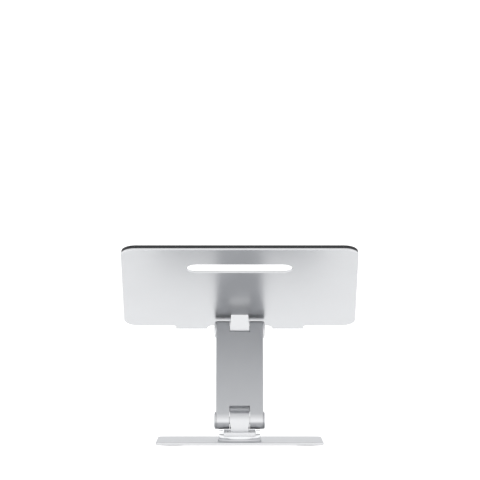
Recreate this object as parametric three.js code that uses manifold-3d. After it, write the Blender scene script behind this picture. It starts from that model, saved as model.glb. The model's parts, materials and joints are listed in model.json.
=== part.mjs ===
// Fold-flat aluminium laptop stand: base plate, turntable, leaning arm and tilting tray.
// Millimetres, +Z up. The origin is the centre of the base plate at the desk.
// The user sits on the -Y side.
import * as THREE from "three";
import { mergeVertices } from "three/addons/utils/BufferGeometryUtils.js";
import Module from "manifold-3d";

const wasm = await Module();
wasm.setup();

// ---- Driving dimensions ----------------------------------------------------

// Clearances that every fit uses.
const RUNNING_FIT = 0.15; // radial play of a shaft, a sleeve or a screw in its hole
const SHIM_GAP = 0.05; // axial play between stacked washers and the faces they bear on
const GLUE_LINE = 0.1; // adhesive film, or paint film, under a part that lies on a turned plate
const SIDE_PLAY = 0.3; // play on each side of a knuckle in its fork and of the foot in its channel

// Base plate and feet.
const BASE_WIDTH = 172;
const BASE_DEPTH = 172;
const BASE_THICKNESS = 2.2;
const BASE_CORNER = 10;
const PLATE_EDGE = 0.4; // rounding of every plate edge
const PAD_FOOT_RADIUS = 11.5;
const PAD_FOOT_HEIGHT = 0.8;
const PAD_FOOT_INSET = 17.3; // from each side of the plate to a foot's centre

// Swivel. Its heights are measured from the top of the base plate.
const SWIVEL_SETBACK = 46; // from the plate's rear edge to the swivel axis
const RING_RADIUS = 21.8;
const FLANGE_STEP = 0.6; // how far the flange stands out of the ring
const FLANGE_HEIGHT = 2.35;
const SLIP_RING_THICKNESS = 0.3;
const SLIP_RING_RECESS = 0.7; // how far the seam between the two halves is set in
const DISC_HEIGHT = 4.65;
const DISC_WEB = 1.25; // floor of the channel that holds the bracket's foot
const STACK_RADIUS = 8; // washers under the swivel bolt
const STACK_POCKET_PLAY = 0.6;
const RING_WEB = 2.2;
const BOLT_RADIUS = 3;
const BOLT_HEAD_RADIUS = 6.5;
const BOLT_HEAD_HEIGHT = 2;
const BOLT_HEAD_CLEARANCE = 0.2; // over the base plate
const BOLT_TO_SLEEVE = 0.6; // from the bolt's end to the lower hinge's sleeve
const RING_SCREW_CIRCLE = 15;
const RING_SCREW_COUNT = 3;
const RING_SCREW_GRIP = 4.3; // screw length above the base plate

// Hinges. The lower and the upper one are alike.
const BARREL_RADIUS = 9;
const KNUCKLE_WIDTH = 20.6;
const NECK_NARROWING = 1.2; // on each side
const NECK_FLARE_START = 0.4; // distances from the hinge axis between which the neck narrows
const LOWER_FLARE_END = 7;
const UPPER_FLARE_END = 15;
const PIN_RADIUS = 4;
const PIN_HEAD_STEP = 2.2;
const PIN_HEAD_HEIGHT = 2.2;
const SLEEVE_WALL = 1.2;
const COUNTERBORE_PLAY = 0.7; // round the pin's head and the washers
const COUNTERBORE_ROOM = 1.15; // from the pin's end to the barrel's end face
const WASHER_THICKNESS = 0.7;
const DISC_SPRING_SHEET = 0.4;
const DISC_SPRING_CONE = 0.3;
const NUT_WALL = 1; // from the pin to the middle of each flat
const NUT_THICKNESS = 2.6;
const PIN_OVERHANG = 0.5; // thread that stands out of the nut
const CAP_RIM = 1.3; // how far a cap's rim stands out of the barrel
const CAP_DOME = 0.75; // how far its middle rises over the rim
const CAP_ROUNDING = 1.2;
const CAP_SPIGOT_WALL = 0.7;
const CAP_SPIGOT_LENGTH = 1.5;

// Lower bracket.
const BARREL_OVER_DISC = 0.6;
const FOOT_BLOCK_WIDTH = 33;
const FOOT_BLOCK_SUNK = 1.85; // from the disc's top down to the foot's top
const FOOT_BLOCK_LIP = 1.1; // how far its rear lip hangs below the ring's top
const FOOT_BLOCK_FRONT = 14; // from the swivel axis to its front end
const FOOT_BLOCK_PROUD = 0.6; // how far its rear face stands out of the ring
const FOOT_BLOCK_CORNER = 1.6;

// Arm.
const ARM_SPAN = 144; // from hinge axis to hinge axis
const ARM_WIDTH = 49.1;
const ARM_THICKNESS = 8.4;
const ARM_ELEVATION = 39.4; // degrees above the desk
const ARM_FILLET = 3;
const ARM_EDGE = 0.6;
const FORK_RELIEF = 3.7; // from the knuckle to the end of the fork's slot
const UPPER_FORK_EXTRA = 1.2; // deeper slot at the top, where the leaning neck swings in

// Tray.
const TRAY_WIDTH = 243.3;
const TRAY_DEPTH = 197.5;
const TRAY_THICKNESS = 2.2;
const TRAY_CORNER = 15;
const TRAY_TILT = 24; // degrees, rear edge up
const TRAY_OVER_BARREL = 2;
const TRAY_NECK_LEAN = 24; // degrees to the rear, so the neck is upright in normal use
const TRAY_AXIS_FROM_FRONT = 14.8;
const TRAY_SLOT_LENGTH = 108.8;
const TRAY_SLOT_WIDTH = 20.5;
const TRAY_SLOT_FROM_REAR = 48;
const TRAY_SCREW_X = 5.5;
const TRAY_SCREW_Y = 4.8; // to the front and rear of the middle of the neck
const TRAY_SCREW_GRIP = 4.2; // screw length below the tray

// Front lips, bent up from the tray.
const LIP_INNER_X = 34.2;
const LIP_OUTER_X = 67.2;
const LIP_REACH = 7.2; // flat run in front of the tray's edge
const LIP_BEND = 3.8; // inner bend radius
const LIP_HEIGHT = 16; // above the tray's top
const LIP_CORNER = 6;
const LIP_ROOT_OUTER = 3.7;
const LIP_ROOT_INNER = 9.5;

// Silicone pads.
const PAD_THICKNESS = 3.4;
const PAD_INSET = 0.5;
const REAR_PAD_DEPTH = 24;
const FRONT_PAD_DEPTH = 14;
const FRONT_PAD_LENGTH = 84;
const FRONT_PAD_SETBACK = 6; // from the tray's front edge
const PAD_CORNER = 3;
const LIP_PAD_THICKNESS = 1.6;
const LIP_PAD_MARGIN = 3;
const LIP_PAD_HEIGHT = 11;

// Countersunk screws.
const SCREW_RADIUS = 1.5;
const SCREW_HEAD_RADIUS = 2.9;
const SCREW_HEAD_LAND = 0.2;
const SCREW_SOCKET_ACROSS = 2;
const SCREW_SOCKET_DEPTH = 1;

// Facets.
const ROUND = 48; // seen rings and knuckles
const CAP_ROUND = 32; // caps and feet
const SMALL_ROUND = 14; // hidden shafts, washers and screws
const CORNER_STEPS = 5;
const PAD_CORNER_STEPS = 3;
const ARM_STEPS = 14;

// ---- Sizes worked out from them --------------------------------------------

const BASE_TOP = PAD_FOOT_HEIGHT + BASE_THICKNESS;
const SWIVEL_Y = BASE_DEPTH / 2 - SWIVEL_SETBACK;
const FLANGE_RADIUS = RING_RADIUS + FLANGE_STEP;
const STACK_POCKET_RADIUS = STACK_RADIUS + STACK_POCKET_PLAY;
const DISC_SPRING_HEIGHT = DISC_SPRING_SHEET + DISC_SPRING_CONE;
const SPRING_PAIR = 2 * (DISC_SPRING_HEIGHT + SHIM_GAP);
const WASHER_STEP = WASHER_THICKNESS + SHIM_GAP;
const RING_TOP =
  BOLT_HEAD_CLEARANCE + BOLT_HEAD_HEIGHT + SHIM_GAP + WASHER_STEP + SPRING_PAIR + RING_WEB;
const DISC_BOTTOM = RING_TOP + SLIP_RING_THICKNESS + SHIM_GAP;
const CHANNEL_FLOOR = DISC_BOTTOM + DISC_WEB;
const DISC_TOP = DISC_BOTTOM + DISC_HEIGHT;
const LOWER_AXIS_HEIGHT = DISC_TOP + BARREL_OVER_DISC + BARREL_RADIUS; // above the base plate's top
const FOOT_BLOCK_BOTTOM = CHANNEL_FLOOR + SHIM_GAP;
const FOOT_BLOCK_TOP = DISC_TOP - FOOT_BLOCK_SUNK;
const FOOT_BLOCK_LIP_BOTTOM = RING_TOP - FOOT_BLOCK_LIP;
const FOOT_BLOCK_REAR = RING_RADIUS + FOOT_BLOCK_PROUD;
const SLEEVE_BORE = PIN_RADIUS + RUNNING_FIT;
const SLEEVE_RADIUS = SLEEVE_BORE + SLEEVE_WALL;
const BOLT_END = LOWER_AXIS_HEIGHT - SLEEVE_RADIUS - BOLT_TO_SLEEVE;
const RING_SCREW_LENGTH = BASE_THICKNESS + RING_SCREW_GRIP;
const NECK_WIDTH = KNUCKLE_WIDTH - 2 * NECK_NARROWING;
const FORK_SLOT_WIDTH = KNUCKLE_WIDTH + 2 * SIDE_PLAY;
const PIN_HEAD_RADIUS = PIN_RADIUS + PIN_HEAD_STEP;
const COUNTERBORE_RADIUS = PIN_HEAD_RADIUS + COUNTERBORE_PLAY;
const NUT_ACROSS_FLATS = 2 * (PIN_RADIUS + NUT_WALL);
const PIN_STACK = SHIM_GAP + WASHER_STEP + SPRING_PAIR + NUT_THICKNESS + PIN_OVERHANG;
const COUNTERBORE_FLOOR = ARM_WIDTH / 2 - PIN_STACK - COUNTERBORE_ROOM;
const FORK_DEPTH = BARREL_RADIUS + FORK_RELIEF;
const UPPER_FORK_DEPTH = FORK_DEPTH + UPPER_FORK_EXTRA;
const ARM_LEAN = 90 - ARM_ELEVATION;
const TRAY_AXIS_DROP = BARREL_RADIUS + TRAY_OVER_BARREL;
const TRAY_TOP = TRAY_AXIS_DROP + TRAY_THICKNESS;
const TRAY_SCREW_LENGTH = TRAY_THICKNESS + TRAY_SCREW_GRIP;
const TRAY_SEAT = TRAY_AXIS_DROP - GLUE_LINE; // from the upper axis to the bracket's top
const NECK_LEAN = THREE.MathUtils.degToRad(TRAY_NECK_LEAN);
const NECK_MIDDLE = TRAY_SEAT * Math.tan(NECK_LEAN); // of the leaning neck where it meets the tray
const TRAY_FRONT = -TRAY_AXIS_FROM_FRONT;
const TRAY_REAR = TRAY_FRONT + TRAY_DEPTH;
const SCREW_CONE = SCREW_HEAD_RADIUS - SCREW_RADIUS;
const ROOT_FILLET_INNER = Math.min(LIP_ROOT_INNER, LIP_REACH - PLATE_EDGE);

// ---- Finishes --------------------------------------------------------------

const finish = (color, roughness, metalness) => () =>
  new THREE.MeshStandardMaterial({ color, roughness, metalness });
const anodised = finish(0xcfd1d3, 0.4, 0.9);
const polished = finish(0xe2e3e4, 0.15, 1);
const steel = finish(0x9a9ca0, 0.35, 1);
const nylon = finish(0x3a3b3d, 0.6, 0);
const silicone = finish(0x2b2c2e, 0.8, 0);
const footRubber = finish(0xb9bbbc, 0.85, 0);

// ---- Shape helpers ---------------------------------------------------------

const X = new THREE.Vector3(1, 0, 0);
const Y = new THREE.Vector3(0, 1, 0);
const Z = new THREE.Vector3(0, 0, 1);
const degrees = THREE.MathUtils.degToRad;

// Turns a geometry made along +Z so that it lies along +X: its x and y become Y and Z.
const alongX = (geometry) =>
  geometry.applyMatrix4(new THREE.Matrix4().makeBasis(Y, Z, X));

// Stands a flat outline up: its x and y become X and Z, and its depth runs towards -Y.
const upright = (geometry) =>
  geometry.applyMatrix4(new THREE.Matrix4().makeBasis(X, Z, Y.clone().negate()));

// A solid of revolution about Z from [radius, height] pairs.
// They are listed round its section from the bottom outwards.
function turned(profile, steps = ROUND) {
  const points = profile.map(([radius, height]) => new THREE.Vector2(radius, height));
  return new THREE.LatheGeometry(points, steps).rotateX(Math.PI / 2);
}

const disc = (radius, bottom, top, steps) =>
  turned([[0, bottom], [radius, bottom], [radius, top], [0, top]], steps);

const ring = (inner, outer, bottom, top, steps) =>
  turned([[inner, bottom], [outer, bottom], [outer, top], [inner, top], [inner, bottom]], steps);

const block = (x0, x1, y0, y1, z0, z1) =>
  new THREE.BoxGeometry(x1 - x0, y1 - y0, z1 - z0).translate(
    (x0 + x1) / 2,
    (y0 + y1) / 2,
    (z0 + z1) / 2,
  );

// A rectangle with its own radius at the front and at the rear corners.
function roundedRectangle(x0, x1, y0, y1, frontRadius, rearRadius = frontRadius) {
  const quarter = Math.PI / 2;
  const shape = new THREE.Shape();
  shape.absarc(x1 - frontRadius, y0 + frontRadius, frontRadius, -quarter, 0);
  shape.absarc(x1 - rearRadius, y1 - rearRadius, rearRadius, 0, quarter);
  shape.absarc(x0 + rearRadius, y1 - rearRadius, rearRadius, quarter, 2 * quarter);
  shape.absarc(x0 + frontRadius, y0 + frontRadius, frontRadius, 2 * quarter, 3 * quarter);
  shape.closePath();
  return shape;
}

// A plate from z = 0 to its thickness, with its edges rounded inside the outline.
function plate(shape, thickness, edgeSteps = 1, cornerSteps = CORNER_STEPS) {
  const edge = PLATE_EDGE;
  return new THREE.ExtrudeGeometry(shape, {
    depth: thickness - 2 * edge,
    bevelThickness: edge,
    bevelSize: edge,
    bevelOffset: -edge,
    bevelSegments: edgeSteps,
    curveSegments: cornerSteps,
  }).translate(0, 0, edge);
}

// A bar of one section, without rounded edges.
const bar = (shape, length, steps = CORNER_STEPS) =>
  new THREE.ExtrudeGeometry(shape, { depth: length, bevelEnabled: false, curveSegments: steps });

// Booleans.
function solidOf(geometry) {
  const plain = geometry.index ? geometry.toNonIndexed() : geometry.clone();
  plain.deleteAttribute("normal");
  plain.deleteAttribute("uv");
  const merged = mergeVertices(plain, 1e-4);
  return new wasm.Manifold(
    new wasm.Mesh({
      numProp: 3,
      vertProperties: merged.attributes.position.array,
      triVerts: new Uint32Array(merged.index.array),
    }),
  );
}

function geometryOf(solid) {
  const { numProp, numVert, vertProperties, triVerts } = solid.getMesh();
  const position = new Float32Array(numVert * 3);
  for (let i = 0; i < numVert; i++)
    position.set(vertProperties.subarray(i * numProp, i * numProp + 3), i * 3);
  const geometry = new THREE.BufferGeometry();
  geometry.setAttribute("position", new THREE.BufferAttribute(position, 3));
  geometry.setIndex(new THREE.BufferAttribute(triVerts, 1));
  return geometry.toNonIndexed();
}

const join = (...geometries) =>
  geometryOf(geometries.map(solidOf).reduce((whole, piece) => whole.add(piece)));

const cut = (geometry, ...tools) =>
  geometryOf(tools.map(solidOf).reduce((rest, tool) => rest.subtract(tool), solidOf(geometry)));

const common = (a, b) => geometryOf(solidOf(a).intersect(solidOf(b)));

// Puts a named piece into a group.
function add(group, name, geometry, material, position = [0, 0, 0]) {
  const mesh = new THREE.Mesh(geometry, material());
  mesh.name = name;
  mesh.position.set(...position);
  mesh.geometry.computeVertexNormals();
  group.add(mesh);
}

// ---- Fasteners -------------------------------------------------------------

// A countersunk screw that points up +Z with its head's face at z = 0, and the hole it needs.
function screwProfile(length, play) {
  const shank = SCREW_RADIUS + play;
  const head = SCREW_HEAD_RADIUS + play;
  return [
    [0, 0],
    [head, 0],
    [head, SCREW_HEAD_LAND],
    [shank, SCREW_HEAD_LAND + SCREW_CONE],
    [shank, length + play],
    [0, length + play],
  ];
}

function screw(length) {
  const socket = disc(SCREW_SOCKET_ACROSS / Math.sqrt(3), -1, SCREW_SOCKET_DEPTH, 6);
  return cut(turned(screwProfile(length, 0), SMALL_ROUND), socket);
}

// The hole starts below the head's face, so that it opens through the surface.
function screwHole(length) {
  const [axis, head, ...rest] = screwProfile(length, RUNNING_FIT);
  return turned([[axis[0], -1], [head[0], -1], ...rest], SMALL_ROUND);
}

// A cone-shaped disc spring from z = 0 up, its narrow side up, or down when it is turned over.
function discSpring(bore, radius, turnedOver) {
  const rise = DISC_SPRING_CONE;
  const [inner, outer] = turnedOver ? [0, rise] : [rise, 0];
  return turned(
    [
      [bore, inner],
      [radius, outer],
      [radius, outer + DISC_SPRING_SHEET],
      [bore, inner + DISC_SPRING_SHEET],
      [bore, inner],
    ],
    SMALL_ROUND,
  );
}

// ---- Base ------------------------------------------------------------------

const ringScrewPlaces = Array.from({ length: RING_SCREW_COUNT }, (_, i) => {
  const angle = Math.PI / 2 + (i * 2 * Math.PI) / RING_SCREW_COUNT;
  return [RING_SCREW_CIRCLE * Math.cos(angle), RING_SCREW_CIRCLE * Math.sin(angle)];
});

function addBase(group) {
  const halfWidth = BASE_WIDTH / 2;
  const halfDepth = BASE_DEPTH / 2;
  const outline = roundedRectangle(-halfWidth, halfWidth, -halfDepth, halfDepth, BASE_CORNER);
  const holes = ringScrewPlaces.map(([x, y]) =>
    screwHole(RING_SCREW_LENGTH).translate(x, SWIVEL_Y + y, 0),
  );
  add(group, "base_plate", cut(plate(outline, BASE_THICKNESS), ...holes), anodised, [
    0,
    0,
    PAD_FOOT_HEIGHT,
  ]);

  const footX = halfWidth - PAD_FOOT_INSET;
  const footY = halfDepth - PAD_FOOT_INSET;
  const edge = PAD_FOOT_HEIGHT / 2;
  const foot = () =>
    turned([
      [0, 0],
      [PAD_FOOT_RADIUS - edge, 0],
      [PAD_FOOT_RADIUS, edge],
      [PAD_FOOT_RADIUS, PAD_FOOT_HEIGHT],
      [0, PAD_FOOT_HEIGHT],
    ], CAP_ROUND);
  for (const [end, y] of [["front", -footY], ["rear", footY]])
    for (const [side, x] of [["left", -footX], ["right", footX]])
      add(group, `base_foot_${end}_${side}`, foot(), footRubber, [x, y, 0]);
}

// The fixed half of the swivel, on the swivel axis, with z = 0 at the base plate's top.
function addFixedSwivel(group) {
  const holes = () =>
    ringScrewPlaces.map(([x, y]) =>
      disc(SCREW_RADIUS + RUNNING_FIT, -1, RING_SCREW_LENGTH - BASE_THICKNESS + RUNNING_FIT, SMALL_ROUND)
        .translate(x, y, 0),
    );
  const flange = ring(STACK_POCKET_RADIUS, FLANGE_RADIUS, 0, FLANGE_HEIGHT);
  add(group, "swivel_flange", cut(flange, ...holes()), anodised);

  const bottom = FLANGE_HEIGHT;
  const pocketTop = RING_TOP - RING_WEB;
  const bore = BOLT_RADIUS + RUNNING_FIT;
  const body = turned([
    [STACK_POCKET_RADIUS, bottom],
    [RING_RADIUS, bottom],
    [RING_RADIUS, RING_TOP - PLATE_EDGE],
    [RING_RADIUS - PLATE_EDGE, RING_TOP],
    [bore, RING_TOP],
    [bore, pocketTop],
    [STACK_POCKET_RADIUS, pocketTop],
    [STACK_POCKET_RADIUS, bottom],
  ]);
  add(group, "swivel_ring", cut(body, ...holes()), polished);

  const slip = ring(STACK_RADIUS, RING_RADIUS - SLIP_RING_RECESS, 0, SLIP_RING_THICKNESS, CAP_ROUND);
  add(group, "swivel_slip_ring", slip, nylon, [0, 0, RING_TOP]);

  ringScrewPlaces.forEach(([x, y], i) =>
    add(group, `ring_screw_${i + 1}`, screw(RING_SCREW_LENGTH), steel, [x, y, -BASE_THICKNESS]),
  );
}

// ---- Hinge parts -----------------------------------------------------------

// The knuckle and its neck, on the hinge axis, with the root up at +Z and the flat face at +Y.
function knuckleAndNeck(rootDistance, flareEnd) {
  const half = KNUCKLE_WIDTH / 2;
  const narrow = NECK_WIDTH / 2;
  const knuckle = alongX(disc(BARREL_RADIUS, -half, half));
  const outline = new THREE.Shape([
    new THREE.Vector2(-half, 0),
    new THREE.Vector2(half, 0),
    new THREE.Vector2(half, NECK_FLARE_START),
    new THREE.Vector2(narrow, flareEnd),
    new THREE.Vector2(narrow, rootDistance),
    new THREE.Vector2(-narrow, rootDistance),
    new THREE.Vector2(-narrow, flareEnd),
    new THREE.Vector2(-half, NECK_FLARE_START),
  ]);
  const neck = upright(bar(outline, 2 * BARREL_RADIUS)).translate(0, BARREL_RADIUS, 0);
  return join(knuckle, neck);
}

const sleeveHole = () =>
  alongX(disc(SLEEVE_RADIUS + RUNNING_FIT, -KNUCKLE_WIDTH, KNUCKLE_WIDTH, SMALL_ROUND));

const sleeve = () =>
  alongX(ring(SLEEVE_BORE, SLEEVE_RADIUS, -KNUCKLE_WIDTH / 2, KNUCKLE_WIDTH / 2, SMALL_ROUND));

// What the fork carries on one hinge axis: the pin, its washer, disc springs and nut, and two caps.
function addPinSet(group, name, z) {
  const place = [0, 0, z];
  const floor = COUNTERBORE_FLOOR;
  const washerStart = floor + SHIM_GAP;
  const springStart = washerStart + WASHER_STEP;
  const nutStart = springStart + SPRING_PAIR;
  const pinEnd = nutStart + NUT_THICKNESS + PIN_OVERHANG;
  const headFace = -floor - SHIM_GAP;
  const pin = turned(
    [
      [0, headFace - PIN_HEAD_HEIGHT],
      [PIN_HEAD_RADIUS, headFace - PIN_HEAD_HEIGHT],
      [PIN_HEAD_RADIUS, headFace],
      [PIN_RADIUS, headFace],
      [PIN_RADIUS, pinEnd],
      [0, pinEnd],
    ],
    SMALL_ROUND,
  );
  add(group, `${name}_pin`, alongX(pin), steel, place);

  const washer = ring(SLEEVE_BORE, PIN_HEAD_RADIUS, washerStart, washerStart + WASHER_THICKNESS, SMALL_ROUND);
  add(group, `${name}_washer`, alongX(washer), steel, place);
  for (const i of [0, 1]) {
    const spring = discSpring(SLEEVE_BORE, PIN_HEAD_RADIUS, i === 1);
    spring.translate(0, 0, springStart + (i * SPRING_PAIR) / 2);
    add(group, `${name}_disc_spring_${i + 1}`, alongX(spring), steel, place);
  }
  const nutRadius = NUT_ACROSS_FLATS / Math.sqrt(3);
  const nut = cut(
    disc(nutRadius, nutStart, nutStart + NUT_THICKNESS, 6),
    disc(SLEEVE_BORE, nutStart - 1, pinEnd + 1, SMALL_ROUND),
  );
  add(group, `${name}_nut`, alongX(nut), steel, place);

  for (const [side, turn] of [["left", Math.PI], ["right", 0]])
    add(group, `${name}_cap_${side}`, alongX(cap()).rotateZ(turn), anodised, place);
}

// A domed end cap along +Z, over the barrel's end face, with a spigot in the counterbore.
function cap() {
  const face = ARM_WIDTH / 2 + SHIM_GAP;
  const rim = ARM_WIDTH / 2 + CAP_RIM;
  const spigotOuter = COUNTERBORE_RADIUS - RUNNING_FIT;
  const spigotInner = spigotOuter - CAP_SPIGOT_WALL;
  const domeRadius = BARREL_RADIUS - CAP_ROUNDING;
  const rounding = [];
  for (let i = 0; i <= 2; i++) {
    const angle = (i / 2) * (Math.PI / 2);
    rounding.push([domeRadius + CAP_ROUNDING * Math.cos(angle), rim - CAP_ROUNDING * (1 - Math.sin(angle))]);
  }
  const dome = [];
  for (let i = 1; i <= 2; i++) {
    const share = 1 - i / 2;
    dome.push([domeRadius * share, rim + CAP_DOME * (1 - share * share)]);
  }
  return turned([
    [0, face],
    [spigotInner, face],
    [spigotInner, face - CAP_SPIGOT_LENGTH],
    [spigotOuter, face - CAP_SPIGOT_LENGTH],
    [spigotOuter, face],
    [BARREL_RADIUS, face],
    ...rounding,
    ...dome,
  ], CAP_ROUND);
}

// ---- Turntable -------------------------------------------------------------

// The turning half of the swivel and the lower bracket, with z = 0 at the base plate's top.
function addTurntable(group) {
  const bore = BOLT_RADIUS + RUNNING_FIT;
  const channelHalf = FOOT_BLOCK_WIDTH / 2 + SIDE_PLAY;
  const body = turned([
    [bore, DISC_BOTTOM],
    [RING_RADIUS - PLATE_EDGE, DISC_BOTTOM],
    [RING_RADIUS, DISC_BOTTOM + PLATE_EDGE],
    [RING_RADIUS, DISC_TOP - PLATE_EDGE],
    [RING_RADIUS - PLATE_EDGE, DISC_TOP],
    [bore, DISC_TOP],
    [bore, DISC_BOTTOM],
  ]);
  const channel = block(
    -channelHalf,
    channelHalf,
    -FOOT_BLOCK_FRONT - SIDE_PLAY,
    FOOT_BLOCK_REAR + 1,
    CHANNEL_FLOOR,
    DISC_TOP + 1,
  );
  add(group, "turntable_disc", cut(body, channel), polished);

  const footOutline = roundedRectangle(
    -FOOT_BLOCK_WIDTH / 2,
    FOOT_BLOCK_WIDTH / 2,
    -FOOT_BLOCK_FRONT,
    FOOT_BLOCK_REAR,
    FOOT_BLOCK_CORNER,
  );
  const foot = plate(footOutline, FOOT_BLOCK_TOP - FOOT_BLOCK_LIP_BOTTOM).translate(
    0,
    0,
    FOOT_BLOCK_LIP_BOTTOM,
  );
  const underFoot = disc(RING_RADIUS + SIDE_PLAY, 0, FOOT_BLOCK_BOTTOM);
  const neck = knuckleAndNeck(LOWER_AXIS_HEIGHT - FOOT_BLOCK_TOP + PLATE_EDGE, LOWER_FLARE_END)
    .rotateY(Math.PI)
    .translate(0, 0, LOWER_AXIS_HEIGHT);
  const bracket = cut(
    join(cut(foot, underFoot), neck),
    sleeveHole().translate(0, 0, LOWER_AXIS_HEIGHT),
    disc(bore, 0, BOLT_END + RUNNING_FIT, SMALL_ROUND),
  );
  add(group, "lower_bracket", bracket, anodised);
  add(group, "lower_hinge_sleeve", sleeve(), nylon, [0, 0, LOWER_AXIS_HEIGHT]);

  const pocketTop = RING_TOP - RING_WEB;
  for (const i of [0, 1])
    add(
      group,
      `swivel_disc_spring_${i + 1}`,
      discSpring(bore, STACK_RADIUS, i === 0),
      steel,
      [0, 0, pocketTop - ((i + 1) * SPRING_PAIR) / 2],
    );
  const washerTop = pocketTop - SPRING_PAIR - SHIM_GAP;
  const washerBottom = washerTop - WASHER_THICKNESS;
  add(group, "swivel_washer", ring(bore, STACK_RADIUS, washerBottom, washerTop, SMALL_ROUND), steel);

  const headTop = washerBottom - SHIM_GAP;
  const bolt = turned(
    [
      [0, headTop - BOLT_HEAD_HEIGHT],
      [BOLT_HEAD_RADIUS, headTop - BOLT_HEAD_HEIGHT],
      [BOLT_HEAD_RADIUS, headTop],
      [BOLT_RADIUS, headTop],
      [BOLT_RADIUS, BOLT_END],
      [0, BOLT_END],
    ],
    SMALL_ROUND,
  );
  add(group, "swivel_bolt", bolt, steel);
}

// ---- Arm -------------------------------------------------------------------

// The arm stands up +Z from the lower hinge axis, and its flat face is on the +Y side.
function armSection() {
  const radius = BARREL_RADIUS;
  const inner = radius - ARM_THICKNESS;
  const filletY = inner - ARM_FILLET;
  const filletZ = Math.sqrt((radius + ARM_FILLET) ** 2 - filletY ** 2);
  const toFillet = Math.atan2(filletZ, filletY);
  const shape = new THREE.Shape();
  // Round the lower barrel from the flat face to the first fillet, clockwise.
  shape.absarc(0, 0, radius, 0, -2 * Math.PI + toFillet, true);
  shape.absarc(filletY, filletZ, ARM_FILLET, toFillet - Math.PI, 0, false);
  shape.lineTo(inner, ARM_SPAN - filletZ);
  shape.absarc(filletY, ARM_SPAN - filletZ, ARM_FILLET, 0, Math.PI - toFillet, false);
  shape.absarc(0, ARM_SPAN, radius, -toFillet, -2 * Math.PI, true);
  shape.closePath();
  return shape;
}

function addArm(group) {
  const half = ARM_WIDTH / 2;
  const body = alongX(
    new THREE.ExtrudeGeometry(armSection(), {
      depth: ARM_WIDTH - 2 * ARM_EDGE,
      bevelThickness: ARM_EDGE,
      bevelSize: ARM_EDGE,
      bevelOffset: -ARM_EDGE,
      bevelSegments: 1,
      curveSegments: ARM_STEPS,
    }).translate(0, 0, ARM_EDGE - half),
  );
  const reach = BARREL_RADIUS + 1;
  const slotHalf = FORK_SLOT_WIDTH / 2;
  const tools = [];
  for (const [z, from, to] of [
    [0, -reach, FORK_DEPTH],
    [ARM_SPAN, ARM_SPAN - UPPER_FORK_DEPTH, ARM_SPAN + reach],
  ]) {
    tools.push(block(-slotHalf, slotHalf, -reach, reach, from, to));
    tools.push(alongX(disc(SLEEVE_BORE, -half - 1, half + 1, SMALL_ROUND)).translate(0, 0, z));
    for (const [start, end] of [[COUNTERBORE_FLOOR, half + 1], [-half - 1, -COUNTERBORE_FLOOR]])
      tools.push(alongX(disc(COUNTERBORE_RADIUS, start, end, CAP_ROUND)).translate(0, 0, z));
  }
  add(group, "arm_plate", cut(body, ...tools), anodised);
  addPinSet(group, "lower_hinge", 0);
  addPinSet(group, "upper_hinge", ARM_SPAN);
}

// ---- Tray ------------------------------------------------------------------

// The tray's frame is on the upper hinge axis, with +Z out of its top and +Y along it to the rear.
function trayOutline() {
  const quarter = Math.PI / 2;
  const half = TRAY_WIDTH / 2;
  const corner = TRAY_CORNER;
  const tabEnd = TRAY_FRONT - LIP_REACH;
  const shape = new THREE.Shape();
  // Along the front edge from left to right, out and back round each tab.
  shape.absarc(-half + corner, TRAY_FRONT + corner, corner, 2 * quarter, 3 * quarter);
  for (const [x0, x1, r0, r1] of [
    [-LIP_OUTER_X, -LIP_INNER_X, LIP_ROOT_OUTER, ROOT_FILLET_INNER],
    [LIP_INNER_X, LIP_OUTER_X, ROOT_FILLET_INNER, LIP_ROOT_OUTER],
  ]) {
    shape.absarc(x0 - r0, TRAY_FRONT - r0, r0, quarter, 0, true);
    shape.lineTo(x0, tabEnd);
    shape.lineTo(x1, tabEnd);
    shape.absarc(x1 + r1, TRAY_FRONT - r1, r1, 2 * quarter, quarter, true);
  }
  shape.absarc(half - corner, TRAY_FRONT + corner, corner, -quarter, 0);
  shape.absarc(half - corner, TRAY_REAR - corner, corner, 0, quarter);
  shape.absarc(-half + corner, TRAY_REAR - corner, corner, quarter, 2 * quarter);
  shape.closePath();

  const slot = new THREE.Path();
  const slotRadius = TRAY_SLOT_WIDTH / 2;
  const slotHalf = TRAY_SLOT_LENGTH / 2 - slotRadius;
  const slotY = TRAY_REAR - TRAY_SLOT_FROM_REAR;
  slot.absarc(slotHalf, slotY, slotRadius, -quarter, quarter);
  slot.absarc(-slotHalf, slotY, slotRadius, quarter, 3 * quarter);
  slot.closePath();
  shape.holes.push(slot);
  return shape;
}

// One bent lip between two x positions: a short flat run, the bend and the upright.
// Its top corners are rounded.
function lip(x0, x1) {
  const quarter = Math.PI / 2;
  const outer = LIP_BEND + TRAY_THICKNESS;
  const bendY = TRAY_FRONT - LIP_REACH;
  const bendZ = TRAY_AXIS_DROP + outer;
  const top = TRAY_TOP + LIP_HEIGHT;
  const lead = 2 * PLATE_EDGE;
  const section = new THREE.Shape();
  section.moveTo(bendY + lead, TRAY_TOP);
  section.absarc(bendY, bendZ, LIP_BEND, -quarter, -2 * quarter, true);
  section.lineTo(bendY - LIP_BEND, top);
  section.lineTo(bendY - outer, top);
  section.absarc(bendY, bendZ, outer, -2 * quarter, -quarter, false);
  section.lineTo(bendY + lead, TRAY_AXIS_DROP);
  section.closePath();
  const strip = alongX(bar(section, x1 - x0).translate(0, 0, x0));
  const face = roundedRectangle(x0, x1, TRAY_AXIS_DROP - LIP_CORNER - 1, top, LIP_CORNER);
  return common(strip, upright(bar(face, 2 * outer + lead)).translate(0, bendY + outer + lead, 0));
}

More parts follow.
